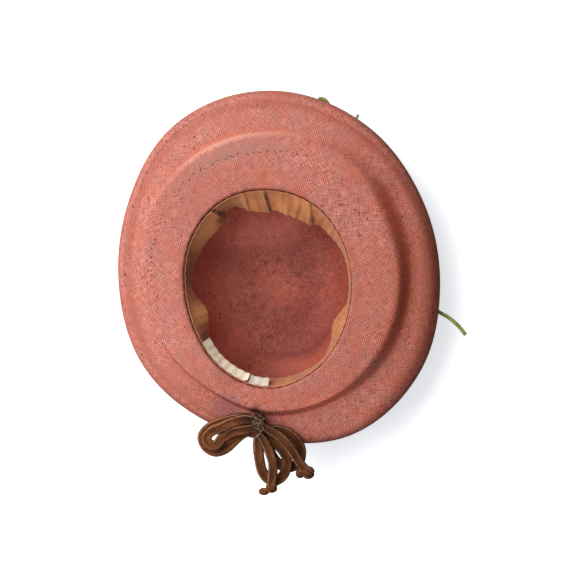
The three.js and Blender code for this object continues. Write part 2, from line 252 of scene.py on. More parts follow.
directions = np.arange(BRIM_STEPS) * 360 / BRIM_STEPS
line = brim_line(directions)
way = way_along(line) - COLLAR
opening, shoulder, foot = around(BRIM_SECTIONS, directions)[:3]
brim = wall_piece(
    "brim_straw",
    line,
    STRAW,
    directions,
    ring=True,
    weave=stand_up(paired(opening + way, way), directions)[..., :2] * MM,
    span=paired(way, way[:, -1:] - way) * MM,
    crest=paired((line[..., 0] - shoulder) * MM, around(CREST_SHADING, directions)[0]),
    step=paired((line[..., 0] - (shoulder + foot) / 2) * MM, around(STEP_SHADE, directions)[0]),
)
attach(brim, "root")
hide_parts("brim")


def linear(code):
    """An sRGB colour written as six hex digits, as linear red, green, blue and full cover."""
    share = np.array([int(code[k : k + 2], 16) for k in (0, 2, 4)]) / 255
    light = np.where(share <= 0.04045, share / 12.92, ((share + 0.055) / 1.055) ** 2.4)
    return (*light.tolist(), 1.0)


def add_node(tree, kind, inputs=(), operation=None, **settings):
    """Adds a node with its operation and settings. Inputs go by place or name: a node or socket is linked,
    a colour code is made linear, and anything else is the socket's own value."""
    node = tree.nodes.new("ShaderNode" + kind)
    if operation:
        node.operation = operation
    for name, value in settings.items():
        setattr(node, name, value)
    for key, value in inputs.items() if isinstance(inputs, dict) else enumerate(inputs):
        if isinstance(value, bpy.types.Node):
            value = value.outputs[0]
        if isinstance(value, bpy.types.NodeSocket):
            tree.links.new(value, node.inputs[key])
        else:
            node.inputs[key].default_value = linear(value) if isinstance(value, str) else value
    return node


def new_material(name):
    """A new material, the function that puts a node into it, and the place on the piece in Object
    coordinates."""
    material = bpy.data.materials.new(name)
    material.use_nodes = True
    put = functools.partial(add_node, material.node_tree)
    return material, put, put("TexCoord").outputs["Object"]


def dress(material, colour, finish, height=None, strength=0, depth=0):
    """Gives a material's shader its colour, the values of its finish, and a bump from a height, if it has
    one, with its strength and its depth in millimetres."""
    tree = material.node_tree
    shader = tree.nodes["Principled BSDF"]
    tree.links.new(colour.outputs[0], shader.inputs["Base Color"])
    for name, value in finish.items():
        shader.inputs[name].default_value = value
    if height is not None:
        bump = add_node(tree, "Bump", {"Height": height, "Strength": strength, "Distance": depth * MM})
        tree.links.new(bump.outputs[0], shader.inputs["Normal"])


# Fine woven straw, dyed rose: threads cross at a slant in sectors round the hat, and the weave
# shows most on the bias and in some places more than in others. Single straws are lighter or darker, the dye
# has faded in patches, and dark knots show where straws were joined. It is matt with a weak gloss. Painted
# light and painted shade lie over it along the step and its crest, along the edge and the opening, and in
# some of its round patches.
# The real threads lie 0.6 mm apart. They are drawn at 1.2 mm, so that the weave shows in the render.
THREAD = 1.2
SECTOR = 30
STRAW_SPECK = "5e241b"
STRAW_RUDDY = "b4532f"
STRAW_SEAM_SHADE = "6b2c20"
STRAW_GREY = "96695e"
# how the threads wander: length of the bends, how far they go to the side, and their detail
THREAD_BENDS = [(22, 1.6, 2.0), (7, 1.5, 1.0)]
# size of the patches in which the straw is smooth, the dye has turned, the weave is bare, and it is mottled
SMOOTH_PATCH = 45
DYE_PATCH = 17
BARE_PATCH = 11
MOTTLE_PATCH = 7
# darker along the opening: painted shade of the gap behind the sweatband, together with grime; where it
# starts to fade and where it ends, and its cover
SEAM_SHADE_AND_GRIME = [(-1.5, 1, 0.45), (1.5, 8, 0.2)]
# greatest radius of a knot, the width of its soft edge, and how far knots stray from an even spread
KNOT_RADIUS = 2
KNOT_SOFT = 0.9
KNOT_STRAY = 4
# lines along the top of the step: painted shade inside it, an orange line outside it, and a painted
# highlight on the step's face that turns to the window; distance from it, half width, cover, colour
CREST_SHADING_LINES = [(-9, 14, 0.42, "8f6a60"), (8, 3.5, 0.4, "bd5a38"), (3.2, 4, 0.36, "eeb7a2")]
# lines along the middle of the step, a deeper red for painted shade and a paler one for painted light: the
# sign of the weight, then the same
STEP_SHADE_LINES = [(1, (0, 14, 0.8, "9a3a1a")), (-1, (0, 8, 0.7, "df725e"))]
# lines along the edge: a darker band over the turned edge, and a pale line of painted light on the edge
# itself; and the stretch from back to front over which they appear
RIM_BAND_AND_LIT_EDGE = [(HEM + 3, 7.5, 0.52, "98422a"), (0, 5, 0.35, "e0a08c")]
RIM_FROM_BACK = (-110, -50)
# patches of stain, of painted light and of painted shade: colour, place, radius, cover
BRIM_STAINS_LIGHT_AND_SHADE = [
    # painted shade: redder and darker on the right, away from the window
    ("a9543c", (155, 0, 65), 110, 0.4),
    # painted light: paler towards the lower left, near the window
    ("cb857b", (-115, -65, 75), 85, 0.12),
    # painted shade near the opening at the upper left
    ("9c5243", (-62, 92, 80), 75, 0.42),
    ("9a5346", (62, -140, 68), 36, 0.4),
    ("84494c", (-44, -123, 75), 27, 0.65),
    ("84453a", (-43, -89, 79), 17, 0.35),
    # painted shade next to the bow's knot, with dark fuzz
    ("2f1712", (-14, -123, 77), 11, 0.85),
    ("a0522a", (-6, 110, 79), 9, 0.55),
    ("7a3a22", (119, 97, 79), 22, 0.35),
]
# dark, mean and light straw
FADED_ROSE = ("86402f", "ab5b4b", "cb7d6e")


def lines_along(put, colour, away, weight, lines, near=0, fall="SMOOTHSTEP"):
    """A colour with soft lines over it, each at its own distance away from an edge. A line is full up to
    near from its middle, fades from there to its half width, and is weakened by a weight."""
    for middle, reach, cover, tint in lines:
        off = put("Math", [away, middle * MM], "SUBTRACT")
        off = put("Math", [off], "ABSOLUTE")
        off = put("MapRange", [off, near * MM, reach * MM, cover, 0], interpolation_type=fall)
        off = put("Math", [off, weight], "MULTIPLY")
        colour = put("MixRGB", [off, colour, tint])
    return colour


def patched(put, colour, place, patches, fall):
    """A colour with round patches over it, each full up to a quarter of its radius and faded out at it."""
    for tint, centre, radius, cover in patches:
        gap = put("VectorMath", [place, tuple(x * MM for x in centre)], "DISTANCE")
        limits = [gap.outputs["Value"], radius / 4 * MM, radius * MM, cover, 0]
        colour = put("MixRGB", [put("MapRange", limits, interpolation_type=fall), colour, tint])
    return colour


def woven_straw(name, dyes, gloss, blotch, uneven, knot_cell, crest_shading_lines, step_shade_lines, patches):
    material, put, place = new_material(name)
    dark, mean, light = dyes
    weave = put("UVMap", uv_map="weave")
    span = put("SeparateXYZ", [put("UVMap", uv_map="span")])
    flat = put("SeparateXYZ", [weave])
    turn = put("Math", [flat.outputs[1], flat.outputs[0]], "ARCTAN2")
    sector = put("Math", [turn, math.radians(SECTOR)], "SNAP")
    slant = put("Math", [math.radians(45 - SECTOR / 2), sector], "SUBTRACT")
    bent = put("VectorRotate", {"Vector": weave, "Angle": slant}, rotation_type="Z_AXIS")
    for length, side, detail in THREAD_BENDS:
        bend = put("TexNoise", {"Vector": place, "Scale": 1 / (length * MM), "Detail": detail})
        sway = [bend.outputs["Color"], (side * MM, side * MM, 0), bent]
        bent = put("VectorMath", sway, "MULTIPLY_ADD")
    count = (1 / (THREAD * MM), 1 / (THREAD * MM), 0)
    thread = put("VectorMath", [bent, count], "MULTIPLY")
    axes = put("SeparateXYZ", [thread])
    waves, tones = [], []
    for axis, stretch in enumerate([(0.8, 0.12, 0), (0.12, 0.8, 0)]):
        phase = put("Math", [axes.outputs[axis], math.pi], "MULTIPLY")
        waves.append(put("Math", [phase], "SINE"))
        drawn = put("VectorMath", [thread, stretch], "MULTIPLY")
        tones.append(put("TexNoise", {"Vector": drawn, "Scale": 1.0, "Detail": 2.0}))
    check = put("Math", waves, "MULTIPLY")
    tone = put("Math", tones, "ADD")
    tone = put("MapRange", [tone, 0.7, 1.3, 0, 1])
    colour = put("MixRGB", [tone, dark, light])
    patch = put("TexNoise", {"Vector": place, "Scale": 1 / (SMOOTH_PATCH * MM), "Detail": 3.0})
    smooth = put("MapRange", [patch, 0.35, 0.65, 0, 0.7])
    colour = put("MixRGB", [smooth, colour, mean])
    fade = put("TexNoise", {"Vector": place, "Scale": 1 / (DYE_PATCH * MM), "Detail": 3.0})
    for most, tint in [(0.75, STRAW_RUDDY), (0.25, STRAW_GREY)]:
        turned = put("MapRange", [fade, 0.5, most, 0, blotch])
        colour = put("MixRGB", [turned, colour, tint])
    # round patches: stains, painted light and painted shade
    colour = patched(put, colour, place, patches, "SMOOTHSTEP")
    # painted shade and painted light along the step
    for sign, along in step_shade_lines:
        step = put("SeparateXYZ", [put("UVMap", uv_map="step")])
        weight = put("MapRange", [step.outputs[1], 0, sign, 0, 1])
        colour = lines_along(put, colour, step.outputs[0], weight, [along])
    bare = put("TexNoise", {"Vector": place, "Scale": 1 / (BARE_PATCH * MM), "Detail": 2.0})
    strength = put("MapRange", [bare, 0.36, 0.64, 0.15, 0.85])
    bias = put("Math", [turn, 2.0], "MULTIPLY")
    bias = put("Math", [bias], "SINE")
    bias = put("Math", [bias], "ABSOLUTE")
    bias = put("MapRange", [bias, 0.15, 0.9, 0.7, 1.8])
    strength = put("Math", [strength, bias], "MULTIPLY")
    strength = put("Math", [strength, 0.95], "MINIMUM")
    lift = put("Math", [check, strength, 1.0], "MULTIPLY_ADD")
    mottle = {"Vector": place, "Scale": 1 / (MOTTLE_PATCH * MM), "Detail": 3.0, "Roughness": 0.6}
    for shade, low, high in [(put("TexNoise", mottle), 0.32, 0.68), (tone, 0, 1)]:
        shade = put("MapRange", [shade, low, high, 1 - uneven, 1 + uneven])
        lift = put("Math", [lift, shade], "MULTIPLY")
    grey = put("CombineXYZ", [lift, lift, lift])
    colour = put("MixRGB", [1.0, colour, grey], blend_type="MULTIPLY")
    # a darker band over the turned edge, and a pale line of painted light on the edge itself
    front = put("SeparateXYZ", [place]).outputs[1]
    rim_weight = put("MapRange", [front, RIM_FROM_BACK[0] * MM, RIM_FROM_BACK[1] * MM, 0.35, 1])
    colour = lines_along(put, colour, span.outputs[1], rim_weight, RIM_BAND_AND_LIT_EDGE)
    # painted shade and painted highlight along the brim step's crest, and along the crown's crease
    crest = put("SeparateXYZ", [put("UVMap", uv_map="crest")])
    colour = lines_along(put, colour, crest.outputs[0], crest.outputs[1], crest_shading_lines)
    # painted shade of the gap behind the sweatband, together with grime, along the seam at the opening
    seam_patchiness = put("MapRange", [bare, 0.4, 0.6, 0.15, 1])
    for near, far, cover in SEAM_SHADE_AND_GRIME:
        seam_shade = put("MapRange", [span.outputs[0], near * MM, far * MM, cover, 0])
        seam_shade = put("Math", [seam_shade, seam_patchiness], "MULTIPLY")
        colour = put("MixRGB", [seam_shade, colour, STRAW_SEAM_SHADE])
    stray = [bend.outputs["Color"], (KNOT_STRAY * MM, KNOT_STRAY * MM, 0), weave]
    strewn = put("VectorMath", stray, "MULTIPLY_ADD")
    cell = {"Vector": strewn, "Scale": 1 / (knot_cell * MM)}
    cells = put("TexVoronoi", cell, voronoi_dimensions="2D")
    chance = put("SeparateColor", [cells.outputs["Color"]])
    size = put("MapRange", [chance.outputs[0], 0.25, 1, 0, KNOT_RADIUS / knot_cell])
    crowd = put("MapRange", [patch, 0.38, 0.6, 1, 0.35])
    size = put("Math", [size, crowd], "MULTIPLY")
    past = put("Math", [cells.outputs["Distance"], size], "SUBTRACT")
    knot = put("MapRange", [past, -KNOT_SOFT / knot_cell, 0, 0.7, 0])
    colour = put("MixRGB", [knot, colour, STRAW_SPECK])
    height = put("Math", [check, tone], "ADD")
    dress(material, colour, {"Roughness": 0.55, "IOR": 1.5, "Specular IOR Level": gloss}, height, 0.5, 0.3)
    return material


brim.data.materials.append(
    woven_straw(
        "faded_rose_woven_straw",
        FADED_ROSE,
        gloss=0.4,
        blotch=0.38,
        uneven=0.05,
        knot_cell=9,
        crest_shading_lines=CREST_SHADING_LINES,
        step_shade_lines=STEP_SHADE_LINES,
        patches=BRIM_STAINS_LIGHT_AND_SHADE,
    )
)

# Trim thread
# A row of short stitches in dark thread on the flat part of the brim, left over from a trim that was sewn
# on there. The thread zigzags, and each end dips into the straw.
TRIM_RADIUS = 0.3
TRIM_SPACING = 6.4
# direction and radius of the row
TRIM_ROW = [
    (58, 134), (65, 135), (90, 135), (125, 135), (140, 129), (168, 120.2), (187, 114.3), (192, 112.5),
]
# how far a stitch strays along the row in degrees and across it, its least and greatest half length and
# lean in degrees, the height of its arch, and the share by which its ends are thinner
TRIM_STRAY = (0.7, 1.2)
TRIM_HALF = (1.1, 2.4)
TRIM_LEAN = (20, 55)
TRIM_ARCH = 0.35
TRIM_TAPER = 0.3
TRIM_SEED = 11


def trim_stitches():
    """Each stitch is a thin round body along a low arch: its middle is on the straw, its ends are in it, it
    leans to the left or the right of the row in turn, and its length and place vary."""
    chance = np.random.default_rng(TRIM_SEED)
    row = np.array(TRIM_ROW, float)
    total = np.radians(row[-1, 0] - row[0, 0]) * row[:, 1].mean()
    count = int(total / TRIM_SPACING)
    along_row, across_row = TRIM_STRAY
    direction = np.linspace(row[0, 0], row[-1, 0], count) + chance.uniform(-along_row, along_row, count)
    radius = np.interp(direction, row[:, 0], row[:, 1]) + chance.uniform(-across_row, across_row, count)
    half = chance.uniform(*TRIM_HALF, count)
    lean = np.radians(chance.uniform(*TRIM_LEAN, count)) * np.where(np.arange(count) % 2, 1, -1)
    angle = np.radians(direction)
    opening, shoulder = around(BRIM_SECTIONS, direction)[:2, :, 0]
    inner = opening + STRAW / 2 + BEND
    rise = HEADLINE - PLATEAU_FALL * ((radius - inner) / (shoulder - inner)) ** 2 + STRAW / 2
    centre = np.stack([radius * np.cos(angle), radius * np.sin(angle), rise], axis=1)
    heading = angle + np.pi / 2 + lean
    along = np.stack([np.cos(heading), np.sin(heading), 0 * heading], axis=1)[:, None, None]
    side = np.stack([-np.sin(heading), np.cos(heading), 0 * heading], axis=1)[:, None, None]
    t = np.linspace(-1, 1, 7)[None, :, None, None]
    ring = np.linspace(0, 2 * np.pi, 6, endpoint=False)[None, None, :, None]
    arch = TRIM_ARCH * (1 - 2 * t**2) * np.array([0, 0, 1])
    thick = TRIM_RADIUS * (1 - TRIM_TAPER * t**2)
    disc = thick * (side * np.cos(ring) + np.array([0, 0, 1]) * np.sin(ring))
    return centre[:, None, None] + along * half[:, None, None, None] * t + arch + disc


trim = grid_piece("trim_thread", trim_stitches(), ring=False)
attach(trim, "root")

# Cotton sewing thread, dark and dull, twisted from two plies.
THREAD_DARK = "5a2a1e"
THREAD_FADED = "8e5342"
THREAD_FADE = 6
THREAD_PLY = 1.2


def sewing_thread(name, dark, faded):
    material, put, place = new_material(name)
    fade = put("TexNoise", {"Vector": place, "Scale": 1 / (THREAD_FADE * MM), "Detail": 2.0})
    fade = put("MapRange", [fade, 0.35, 0.7, 0, 1])
    colour = put("MixRGB", [fade, dark, faded])
    ply = put("TexWave", {"Vector": place, "Scale": 1 / (THREAD_PLY * MM), "Distortion": 2.0})
    dress(material, colour, {"Roughness": 0.8}, ply, 0.4, 0.15)
    return material


trim.data.materials.append(sewing_thread("dark_cotton_thread", THREAD_DARK, THREAD_FADED))

# Crown
# The same woven straw, blocked as a shallow bowl with a flat tip: it lies on the tip, and its straight wall
# goes up round the brim's collar, where the two are sewn.
# height of the straight wall, and the share of the radius that is flat tip
CROWN_STRAIGHT = 14
TIP_SHARE = 0.52
CROWN_STEPS = 300
# a distance from any turned edge at which none of its marks show
NO_RIM = 100
# a crease where the wall bends up: direction, radius, and how sharp it is there
CROWN_CREASE = [
    (0, 75, 0), (90, 75, 0), (180, 75, 0), (248, 74, 0), (266, 75, 0.6), (285, 77, 1), (301, 79, 1),
    (323, 75, 0.8), (338, 74, 0),
]


def crown_line(directions):
    """The middle of the crown's wall: out along the flat tip, up a quarter of an ellipse to the foot of the
    straight wall, and up the wall to just below the bend of the brim."""
    base = around(BRIM_SECTIONS, directions)[0] + STRAW + FIT_GAP + STRAW / 2
    tip = STRAW / 2
    foot = HEADLINE - CROWN_STRAIGHT
    t = np.linspace(0, 1, 24)[None, :-1]
    turn = np.radians(np.linspace(90, 0, 44))[None, :-1]
    share = TIP_SHARE + (1 - TIP_SHARE) * np.cos(turn)
    rise = np.linspace(0, 1, 12)[None]
    radius = np.concatenate([base * TIP_SHARE * t, base * share, base + 0 * rise], axis=1)
    top = HEADLINE - BEND - FIT_GAP
    curve = foot - (foot - tip) * np.sin(turn)
    height = np.concatenate([tip + 0 * t, curve, foot + (top - foot) * rise], axis=1)
    return soften(paired(radius, height), 2)


directions = np.arange(CROWN_STEPS) * 360 / CROWN_STEPS
line = crown_line(directions)
way = way_along(line)
crease, sharp = around(CROWN_CREASE, directions)
crown = wall_piece(
    "crown_straw",
    line,
    STRAW,
    directions,
    ring=True,
    weave=stand_up(paired(way, way), directions)[..., :2] * MM,
    span=paired(way[:, -1:] - way, NO_RIM) * MM,
    crest=paired((line[..., 0] - crease) * MM, sharp),
)
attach(crown, "root")
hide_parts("crown")

# Inside, the same straw with painted light and shade: it is paler up the wall, as painted light, and darker
# round the tip, as painted shade; a paler spot lies at the middle of the tip.
CROWN_LIGHT_AND_SHADE = [
    # painted light: pale patches up the wall and down its left side
    ("c86e60", (-8, 84, 38), 70, 0.8),
    ("c86e60", (-58, 54, 36), 55, 0.75),
    ("d87c6c", (-41, 67, 15), 40, 0.75),
    ("c86e60", (2, 74, 8), 40, 0.7),
    ("b86050", (-72, -3, 24), 54, 0.75),
    ("b86050", (-60, -52, 24), 52, 0.7),
    ("b8675a", (8, -100, 38), 55, 0.4),
    # painted shade: darker patches near the tip
    ("6a2c26", (26, -50, 3), 48, 0.38),
    ("6a2c26", (24, 34, 2), 38, 0.32),
    ("a85443", (2, -1, 1.5), 30, 0.5),
]
# lines along the crease, a dark line of painted shade in it and a band of painted light on the wall outside
# it: distance from it, half width, cover, colour
CREASE_SHADING_LINES = [(-3, 5, 0.35, "5a241e"), (9, 11, 0.4, "b5604e")]
# dark, mean and light straw: a darker copy of the brim's, partly a deeper dye inside and partly painted
# shade for the inside of the bowl
SHADED_DEEP_ROSE = ("66281d", "8a3d30", "a65446")
crown.data.materials.append(
    woven_straw(
        "shaded_deep_rose_woven_straw",
        SHADED_DEEP_ROSE,
        gloss=0.25,
        blotch=0.2,
        uneven=0.11,
        knot_cell=6.5,
        crest_shading_lines=CREASE_SHADING_LINES,
        step_shade_lines=[],
        patches=CROWN_LIGHT_AND_SHADE,
    )
)

# Sweatband
# A rayon grosgrain ribbon sewn inside the collar by its upper edge, a little below the opening. It was
# never pressed, so it leans in and falls into soft folds, deeper at the front and the sides.
RIBBON = 0.8
RIBBON_WIDTH = 26
RIBBON_LENGTH = 575
RIBBON_RADIUS = 91
SEAM_DEPTH = 2.5
RIBBON_STEPS = 720
# direction, and how far the free edge reaches in from the seam
RIBBON_FOLDS = [
    (0, 2.5), (15, 2.8), (30, 5), (43, 9), (53, 12), (63, 18), (75, 20), (90, 18), (101, 19), (106, 16),
    (111, 10), (118, 6.5), (124, 9.5), (131, 14), (140, 13), (148, 9.5), (155, 8.5), (169, 3.5), (177, 1.5),
    (184, 3.5), (190, 8), (197, 13.5), (205, 13.5), (212, 9), (219, 5), (235, 4.5), (250, 5.5), (262, 6),
    (270, 6), (283, 5), (295, 3), (306, 2.2), (313, 3.8), (319, 6.3), (325, 9.8), (330.5, 11.5), (337, 9.5),
    (342, 7), (347.5, 3.6),
]
# sharp folds: direction of the ridge, degrees over which it fades on its gentle and its steep side, how far
# it stands in, and by how many degrees it slants over the width
RIBBON_PLEATS = [
    (63, 5, 2, 6, 8),
    (79, 4, 2, 1.8, 1),
    (93, 6, 0.9, 7, 3),
    (105.5, 3, 0.8, 3.5, -1),
    (126, 6, 0.9, 8.5, 4),
    (149, 3, 2, 1.5, 2),
]
# share of the width at which a sharp fold is at its direction, its height at the seam for each share of the
# width, and how much of that it loses down to the free edge
PLEAT_PIVOT = 0.3
PLEAT_HIGH = 2
PLEAT_LOSS = 1.4
# power of the width's share with which the ribbon leans in
LEAN_POWER = 1.15
# waves along the free edge: height, count round the hat, how far and how often they drift, and start
EDGE_WAVES = [(0.15, 37, 2, 5, 0), (0.1, 61, 0, 0, 1.3)]
STITCH_SPACING = 9
# how far the seam stands off between two stitches
SEAM_SLACK = 0.5


def ribbon_line(directions, shares, pleated):
    """The middle of the ribbon: from the seam it leans in by the fold's reach, and down by the rest of its
    width. The sharp folds add ridges, which fade exponentially to both sides and are highest below the
    middle of the width, and the free edge waves a little. Between the stitches the seam stands away from
    the collar."""
    opening = around(BRIM_SECTIONS, directions)[0]
    reach = around(RIBBON_FOLDS, directions)[0]
    angle = np.radians(directions)[:, None]
    slack = np.sin(angle * opening.mean() * np.pi / STITCH_SPACING) ** 2
    shares = shares[None]
    ridges = 0 * reach * shares
    if pleated:
        for ridge, gentle, steep, depth, slant in RIBBON_PLEATS:
            away = directions[:, None] - ridge + slant * (shares - PLEAT_PIVOT)
            ridges = ridges + depth * np.exp(-np.abs(away) / np.where(away > 0, gentle, steep))
        for high, count, drift, turns, start in EDGE_WAVES:
            reach = reach + high * np.sin(count * angle + drift * np.sin(turns * angle) + start)
    reach = np.maximum(reach, 1)
    depth = np.sqrt(RIBBON_WIDTH**2 - reach**2)
    seam = opening - FIT_GAP - RIBBON / 2 - SEAM_SLACK * slack
    inward = reach * shares**LEAN_POWER + ridges * shares * (PLEAT_HIGH - PLEAT_LOSS * shares)
    return paired(seam - inward, HEADLINE - SEAM_DEPTH - depth * shares)


directions = np.arange(RIBBON_STEPS) * 360 / RIBBON_STEPS
shares = np.linspace(0, 1, 30)
sweatband = wall_piece(
    "sweatband_ribbon",
    ribbon_line(directions, shares, pleated=True),
    RIBBON,
    directions,
    ring=True,
    cloth=paired(np.radians(directions)[:, None] * RIBBON_RADIUS, shares * RIBBON_WIDTH) * MM,
)
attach(sweatband, "root")
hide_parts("sweatband")
flat_size = (RIBBON_WIDTH * MM, RIBBON_LENGTH * MM)

# Rayon grosgrain: ribs across the ribbon, a soft gloss, a paler woven edge that shows on the left as painted
# light, and brown marks from wear. Each sharp fold has painted shade at its foot and a painted highlight
# along its ridge, and patches of painted light and shade lie on the ribbon's left.
# The real ribs lie 0.7 mm apart. They are drawn at 1.4 mm, so that they show.
RIB = 1.4
RIBBON_TAN = "aa6338"
RIBBON_PALE = "ca8354"
RIBBON_EDGE = "c09072"
RIBBON_WORN = "8a5430"
RIBBON_FOLD_SHADE = "3f2414"
RIBBON_PAINTED_LIGHT = "e29c62"
RIBBON_PAINTED_SHADE = "4a2c16"
# patches of painted light on the ribbon's left and its bulges, and of painted shade in its folds and below
# its bulges: colour, place, radius, cover
RIBBON_LIGHT_AND_SHADE = [
    (RIBBON_PAINTED_LIGHT, (-40, 80, 68), 24, 0.75),
    (RIBBON_PAINTED_LIGHT, (-66, 54, 68), 24, 0.6),
    (RIBBON_PAINTED_LIGHT, (-70, -27, 64), 17, 0.5),
    (RIBBON_PAINTED_SHADE, (-64, -52, 62), 17, 0.8),
    (RIBBON_PAINTED_SHADE, (-79, 15, 64), 24, 0.65),
    (RIBBON_PAINTED_SHADE, (-50, 71, 61), 10, 0.85),
]
# size of the worn patches and of the gaps in the folds' marks, and width and length of the streaks
WORN_PATCH = 14
MARK_GAP = 7
STREAK = (1.5, 30)
# the woven edge, shown as painted light on the left: its inner and outer limit, and the stretch from left to
# right over which it goes
EDGE_LIMITS = (0.7, 1.2)
EDGE_LIT_SPAN = (-60, -20)
# marks of a fold for each millimetre that it stands in: cover of the painted highlight along the ridge and
# of the painted shade along the foot
RIDGE_LIGHT_COVER = 0.06
FOOT_SHADE_COVER = 0.13


def grosgrain(name):
    material, put, place = new_material(name)
    cloth = put("UVMap", uv_map="cloth")
    axes = put("SeparateXYZ", [cloth])
    phase = put("Math", [axes.outputs[0], 2 * math.pi / (RIB * MM)], "MULTIPLY")
    rib = put("Math", [phase], "SINE")
    worn = put("TexNoise", {"Vector": place, "Scale": 1 / (WORN_PATCH * MM), "Detail": 3.0})
    worn = put("MapRange", [worn, 0.4, 0.75, 0, 0.7])
    count = (1 / (STREAK[0] * MM), 1 / (STREAK[1] * MM), 0)
    drawn = put("VectorMath", [cloth, count], "MULTIPLY")
    streak = put("TexNoise", {"Vector": drawn, "Scale": 1.0, "Detail": 2.0})
    streak = put("MapRange", [streak, 0.3, 0.7, 0.25, 0.75])
    colour = put("MixRGB", [streak, RIBBON_TAN, RIBBON_PALE])
    colour = put("MixRGB", [worn, colour, RIBBON_WORN])
    # patches of painted light and painted shade
    colour = patched(put, colour, place, RIBBON_LIGHT_AND_SHADE, "LINEAR")
    # painted light: the pale woven edge shows only on the left, towards the window
    left = put("SeparateXYZ", [place]).outputs[0]
    left = put("MapRange", [left, EDGE_LIT_SPAN[0] * MM, EDGE_LIT_SPAN[1] * MM, 0.4, 0])
    edge = put("MapRange", [axes.outputs[1], EDGE_LIMITS[0] * MM, EDGE_LIMITS[1] * MM, 1, 0])
    edge = put("Math", [edge, left], "MULTIPLY")
    colour = put("MixRGB", [edge, colour, RIBBON_EDGE])
    broken = put("TexNoise", {"Vector": place, "Scale": 1 / (MARK_GAP * MM), "Detail": 1.0})
    broken = put("MapRange", [broken, 0.35, 0.6, 0.45, 1])
    # painted highlight along each fold's ridge, painted shade along its foot
    for direction, _, steep, depth, slant in RIBBON_PLEATS:
        slope = math.radians(slant) * RIBBON_RADIUS / RIBBON_WIDTH
        fold = put("Math", [axes.outputs[1], slope, axes.outputs[0]], "MULTIPLY_ADD")
        ridge = math.radians(direction + PLEAT_PIVOT * slant) * RIBBON_RADIUS
        foot = ridge - math.radians(steep) * RIBBON_RADIUS
        reach = 0.6 + 0.25 * depth
        fold_light_and_shade = [
            (ridge, reach, RIDGE_LIGHT_COVER * depth, RIBBON_PAINTED_LIGHT),
            (foot, reach, FOOT_SHADE_COVER * depth, RIBBON_FOLD_SHADE),
        ]
        colour = lines_along(put, colour, fold, broken, fold_light_and_shade, near=0.2, fall="LINEAR")
    dress(material, colour, {"Roughness": 0.5, "Sheen Weight": 0.15}, rib, 0.35, 0.2)
    return material


sweatband.data.materials.append(grosgrain("tan_rayon_grosgrain"))

# Label and size tag
# Two bare woven cloth pieces sewn to the open side of the ribbon, end to end: a long cream label, whose
# right end curls up, and a short white tag.
TAPE = 0.5
TAPE_GRID = (90, 22)
# the last share of the length curls up, more at the upper edge than at the lower
CURLED_SHARE = 1 / 8
CURL_FADE = (1.2, 0.3)


def on_ribbon(first, last, upper, lower, stand, curl):
    """The middle of a tape on the ribbon, between two directions and two shares of the ribbon's width: it is
    the ribbon's own line, moved off along the normal by half of both thicknesses and a hair. Its lower edge
    stands off, and its curled end lifts by curl times the square of the way."""
    columns, rows = TAPE_GRID
    directions = np.linspace(first, last, columns)
    line = ribbon_line(directions, np.linspace(upper, lower, rows), pleated=False)
    along = np.gradient(line, axis=1)
    along /= np.linalg.norm(along, axis=2, keepdims=True)
    away = np.stack([along[..., 1], -along[..., 0]], axis=2)
    end = np.clip((np.linspace(0, 1, columns) - 1) / CURLED_SHARE + 1, 0, 1)[:, None, None] ** 2
    fade = np.linspace(*CURL_FADE, rows)[None, :, None]
    off = np.linspace(0, stand, rows)[None, :, None]
    return line + away * (RIBBON / 2 + FIT_GAP + TAPE / 2 + off + curl * end * fade), directions


# Woven cotton and satin tape: pale, fine and a little soiled, with a darker selvedge line along both edges.
SOIL_PATCH = 9
SELVEDGE = (1.4, 0.9)


def woven_tape(name, pale, soil_and_shade, width):
    material, put, place = new_material(name)
    cloth = put("UVMap", uv_map="cloth")
    axes = put("SeparateXYZ", [cloth])
    soil = put("TexNoise", {"Vector": place, "Scale": 1 / (SOIL_PATCH * MM), "Detail": 4.0})
    soil = put("MapRange", [soil, 0.45, 0.75, 0, 0.7])
    colour = put("MixRGB", [soil, pale, soil_and_shade])
    middle = put("Math", [axes.outputs[1], width / 2], "SUBTRACT")
    middle = put("Math", [middle], "ABSOLUTE")
    inner, outer = [width / 2 - limit * MM for limit in SELVEDGE]
    edge = put("MapRange", [middle, inner, outer, 0, 0.45])
    colour = put("MixRGB", [edge, colour, soil_and_shade])
    scaled = put("VectorMath", [cloth, (1 / MM, 1 / MM, 0)], "MULTIPLY")
    grain = put("TexChecker", {"Vector": scaled, "Scale": 1.0})
    dress(material, colour, {"Roughness": 0.6}, grain.outputs["Fac"], 0.3, 0.12)
    return material


# slot, then first and last direction, upper and lower edge as shares of the ribbon's width, how far the
# lower edge stands off and how far the end curls, then the cloth with its pale and its soiled colour
TAPES = {
    "label": (
        "label_cloth",
        (219.5, 257, 0.03, 0.48, 5.2, 1.6),
        ("cream_woven_label", "efe2cb", "c0a080"),
    ),
    "size_tag": (
        "tag_cloth",
        (257.7, 269.5, 0.02, 0.5, 4.5, 0.3),
        ("white_cotton_tape", "dbd2c6", "b8a28a"),
    ),
}
for name, (slot, limits, cloth) in TAPES.items():
    line, directions = on_ribbon(*limits)
    # its cut size is the mean length of its columns and of its rows
    rows = stand_up(line, directions).swapaxes(0, 1)
    flat_size = (way_along(line)[:, -1].mean() * MM, way_along(rows)[:, -1].mean() * MM)
    across, down = [np.linspace(0, size, count) for size, count in zip(flat_size[::-1], TAPE_GRID)]
    pairs = paired(across[:, None], down)
    tape = wall_piece(name + "_cloth", line, TAPE, directions, ring=False, cloth=pairs)
    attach(tape, "root")
    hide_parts(name)
    tape.data.materials.append(woven_tape(*cloth, flat_size[0]))

